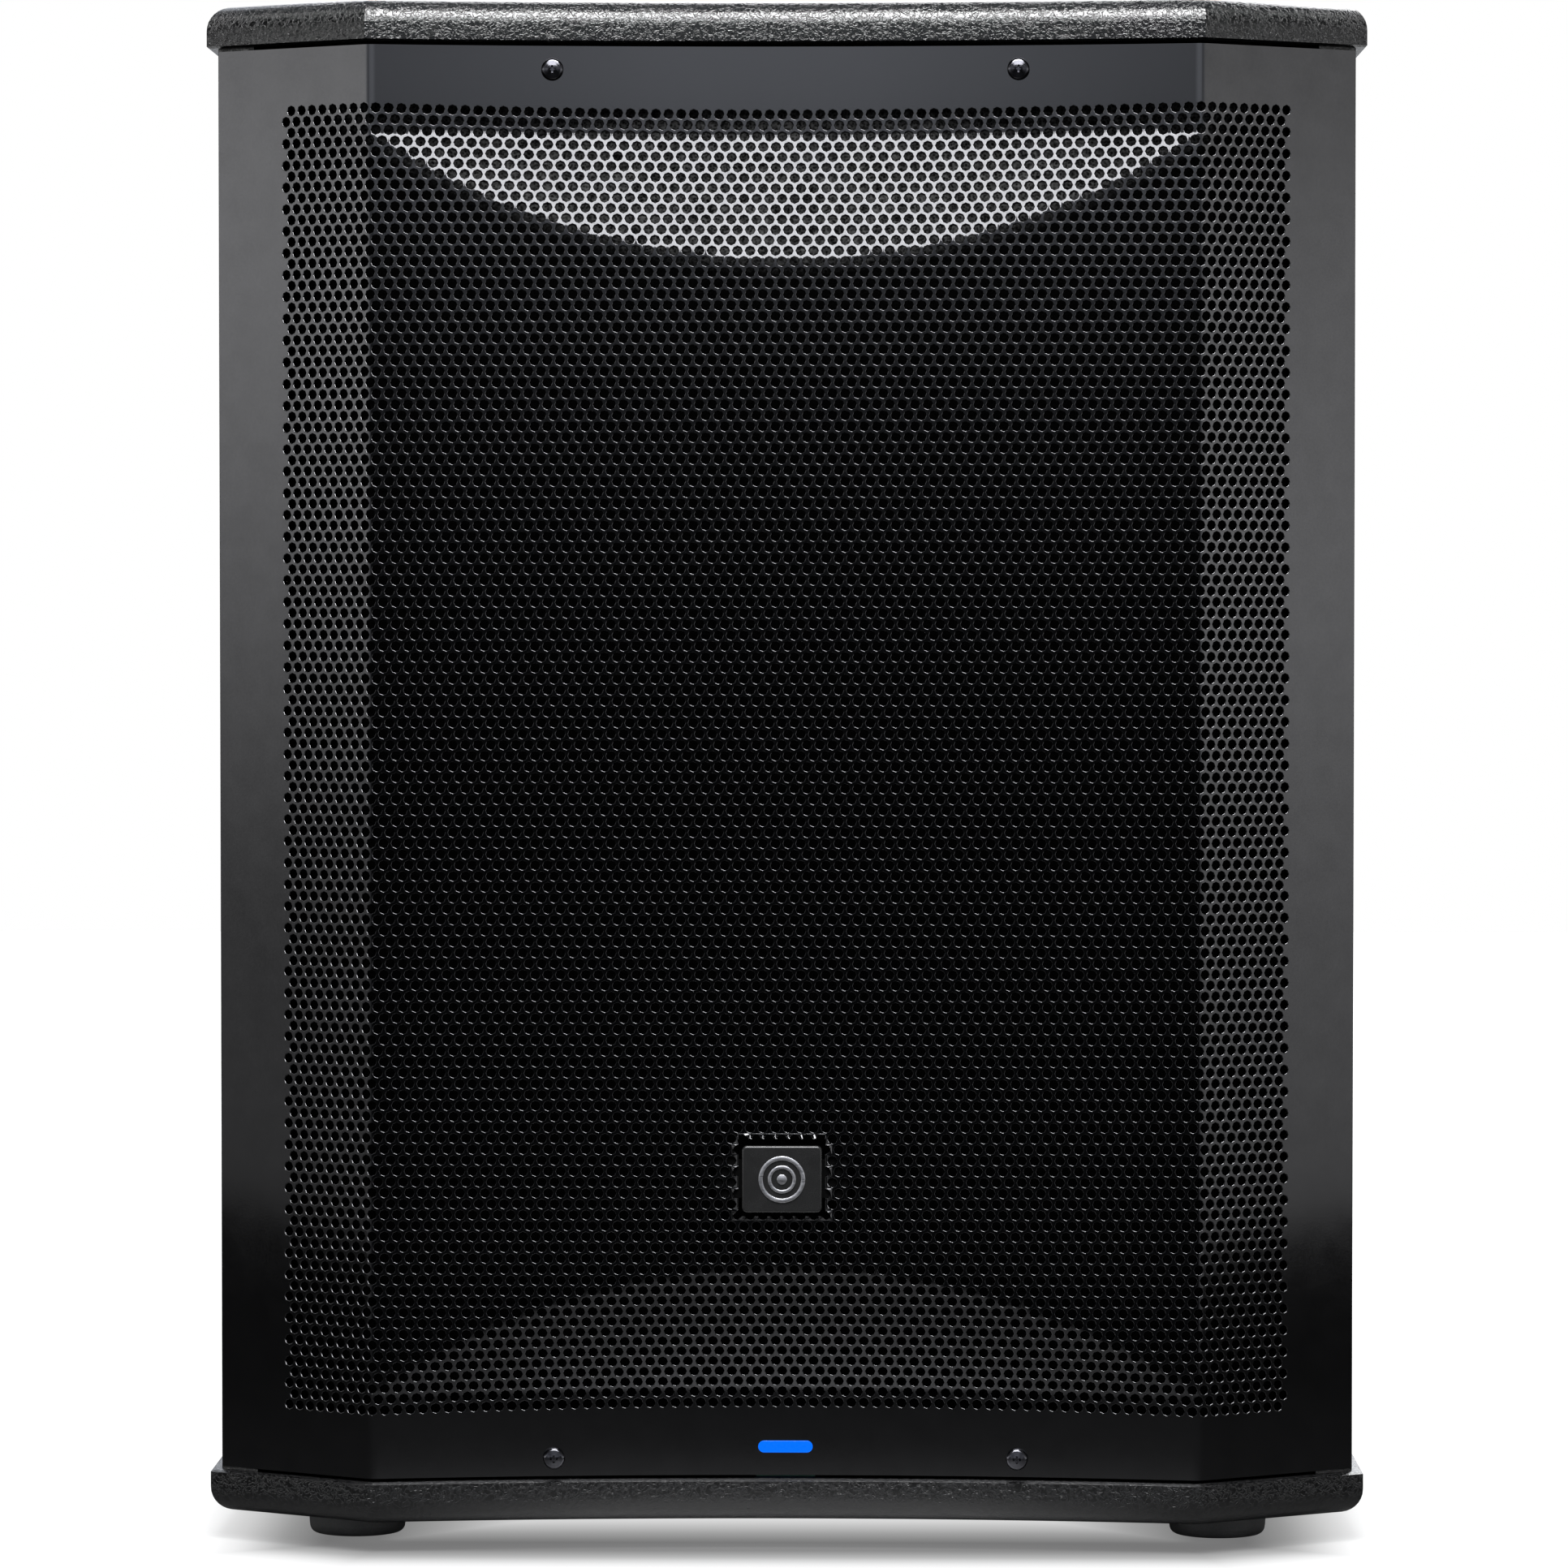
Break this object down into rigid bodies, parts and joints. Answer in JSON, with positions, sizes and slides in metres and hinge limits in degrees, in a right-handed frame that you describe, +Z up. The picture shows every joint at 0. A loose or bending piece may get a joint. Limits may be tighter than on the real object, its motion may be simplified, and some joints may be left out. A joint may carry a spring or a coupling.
{
  "type": "pa speaker cabinet",
  "caption": "Powered bass cabinet: rubber-footed plywood box with a folded perforated steel grille, side handles, pole socket and rear amplifier panel.",
  "frame": {"origin": "on the floor, under the middle of the cabinet's box", "axes": "+Z up, -Y out of the grille, +X to the right of someone facing the grille"},
  "size_m": [0.55, 0.64, 0.73],
  "materials": {
    "panel_coating": "black textured polyurea coating on plywood, satin",
    "raw_plywood": "birch plywood, unfinished",
    "wadding": "white polyester wadding",
    "grille_steel": "black powder coat, satin",
    "foam": "open-cell acoustic foam, charcoal",
    "zinc_steel": "zinc-plated steel",
    "black_screw": "black oxide, semi-gloss",
    "badge_black": "black moulded plastic, satin",
    "emblem_silver": "satin metal foil",
    "led_blue": "clear blue light pipe",
    "circuit_board": "green solder mask",
    "coated_steel": "black powder coat",
    "rubber": "matt black rubber",
    "cast_frame": "die cast, black painted",
    "doped_cloth": "pleated cloth, damping coated",
    "spider_cloth": "resin-treated cotton",
    "paper": "pressed pulp, black",
    "fibreglass": "glass fibre tube",
    "copper": "enamelled copper wire",
    "ferrite": "sintered ferrite, dark grey",
    "black_plastic": "black glass-filled nylon",
    "cable_jacket": "black cable jacket",
    "panel_metal": "black powder coat on aluminium",
    "heatsink_aluminium": "black anodised",
    "knob_plastic": "soft-touch black",
    "rocker_plastic": "translucent red"
  },
  "bodies": {
    "cabinet": {"top_panel": "panel_coating", "bottom_panel": "panel_coating", "side_panel_left": "panel_coating", "side_panel_right": "panel_coating", "back_panel": "panel_coating", "amp_frame": "raw_plywood", "front_baffle": "raw_plywood", "port_shelf": "raw_plywood", "window_brace": "raw_plywood", "damping_lining": "wadding", "grille": "grille_steel", "grille_foam": "foam", "grille_brackets": "zinc_steel", "badge_bracket": "zinc_steel", "woofer_tee_nuts": "zinc_steel", "top_plate": "zinc_steel", "pole_piece": "zinc_steel", "level_pot": "zinc_steel", "amp_housing": "zinc_steel", "grille_screws": "black_screw", "wood_screws": "black_screw", "woofer_bolts": "black_screw", "amp_panel_screws": "black_screw", "badge": "badge_black", "badge_emblem": "emblem_silver", "led_lens": "led_blue", "panel_lights": "led_blue", "led_board": "circuit_board", "amp_board": "circuit_board", "power_supply": "circuit_board", "pole_socket": "coated_steel", "handle_cup_left": "coated_steel", "handle_cup_right": "coated_steel", "foot_front_left": "rubber", "foot_front_right": "rubber", "foot_rear_left": "rubber", "foot_rear_right": "rubber", "handle_grips": "rubber", "woofer_basket": "cast_frame", "surround": "doped_cloth", "spider": "spider_cloth", "magnet": "ferrite", "woofer_terminals": "black_plastic", "input_jacks": "black_plastic", "output_jacks": "black_plastic", "power_inlet": "black_plastic", "power_switch": "black_plastic", "speaker_cable": "cable_jacket", "amp_panel": "panel_metal", "heatsink": "heatsink_aluminium"},
    "cone_assembly": {"cone": "paper", "dust_cap": "paper", "coil_former": "fibreglass", "voice_coil": "copper"},
    "knob": {"level_knob": "knob_plastic"},
    "rocker": {"power_rocker": "rocker_plastic"},
    "polarity": {"polarity_button": "black_plastic"},
    "ground_lift": {"lift_button": "black_plastic"},
    "left_latch": {"latch_left": "zinc_steel"},
    "right_latch": {"latch_right": "zinc_steel"}
  },
  "joints": [
    {"name": "cone_travel", "type": "slide", "parent": "cabinet", "child": "cone_assembly", "axis": [0, -1, 0], "range_m": [-0.008, 0.008], "stiffness_N_per_m": 7000, "deforming": ["surround", "spider"]},
    {"name": "level_turn", "type": "hinge", "parent": "cabinet", "child": "knob", "pos_m": [0.005, 0.3, 0.345], "axis": [0, 1, 0], "range_deg": [-150, 150]},
    {"name": "rocker_tip", "type": "hinge", "parent": "cabinet", "child": "rocker", "pos_m": [-0.095, 0.296, 0.35], "axis": [1, 0, 0], "range_deg": [0, 16]},
    {"name": "polarity_press", "type": "slide", "parent": "cabinet", "child": "polarity", "axis": [0, -1, 0], "range_m": [0, 0.0025], "stiffness_N_per_m": 300},
    {"name": "lift_press", "type": "slide", "parent": "cabinet", "child": "ground_lift", "axis": [0, -1, 0], "range_m": [0, 0.0025], "stiffness_N_per_m": 300},
    {"name": "left_latch_press", "type": "slide", "parent": "cabinet", "child": "left_latch", "axis": [0, -1, 0], "range_m": [0, 0.0015], "stiffness_N_per_m": 400},
    {"name": "right_latch_press", "type": "slide", "parent": "cabinet", "child": "right_latch", "axis": [0, -1, 0], "range_m": [0, 0.0015], "stiffness_N_per_m": 400}
  ]
}
